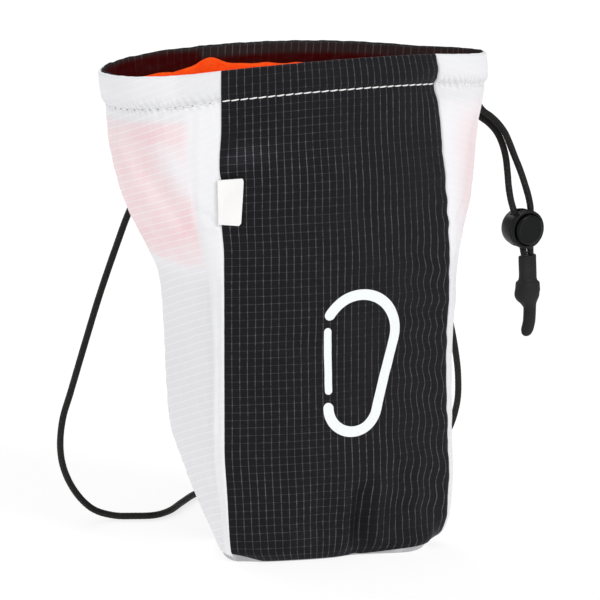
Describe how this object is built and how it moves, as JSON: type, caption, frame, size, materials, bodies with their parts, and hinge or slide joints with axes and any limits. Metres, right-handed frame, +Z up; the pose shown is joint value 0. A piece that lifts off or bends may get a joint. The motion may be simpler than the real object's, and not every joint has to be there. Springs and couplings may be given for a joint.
{
  "type": "climbing chalk bag",
  "caption": "Open-topped chalk bag of black and white ripstop with a fleece lining, a drawcord with cord lock and rubber end, and a thin waist cord behind.",
  "frame": {"origin": "middle of the bag's box without its cords, on the floor it stands on", "axes": "+Z up out of the mouth, -Y towards the black front panel, +X towards the drawcord"},
  "size_m": [0.1864, 0.1375, 0.2032],
  "materials": {
    "black_ripstop": "black ripstop nylon with a fine white grid",
    "white_ripstop": "white translucent ripstop nylon with a faint grid",
    "dark_facing": "black ripstop inside the mouth",
    "orange_fleece": "brushed orange fleece",
    "white_tag": "blank woven white tag",
    "black_webbing": "flat black webbing",
    "black_cord": "braided black accessory cord",
    "black_plastic": "satin moulded plastic",
    "button_plastic": "satin moulded plastic",
    "grey_rubber": "matte dark grey rubber"
  },
  "bodies": {
    "bag": {"front_panel": "black_ripstop", "back_panel": "black_ripstop", "left_side_panel": "white_ripstop", "right_side_panel": "white_ripstop", "base_panel": "white_ripstop", "inner_facing": "dark_facing", "lining": "orange_fleece", "seam_tag": "white_tag", "belt_tunnel": "black_webbing", "drawcord_inner": "black_cord", "drawcord_outer": "black_cord", "waist_cord": "black_cord", "lock_barrel": "black_plastic", "cord_end": "grey_rubber"},
    "lock_button": {"lock_button": "button_plastic"}
  },
  "joints": [
    {"name": "lock_button_press", "type": "slide", "parent": "bag", "child": "lock_button", "axis": [-0.1908, 0.9816, 0], "range_m": [0, 0.002], "stiffness_N_per_m": 600}
  ]
}
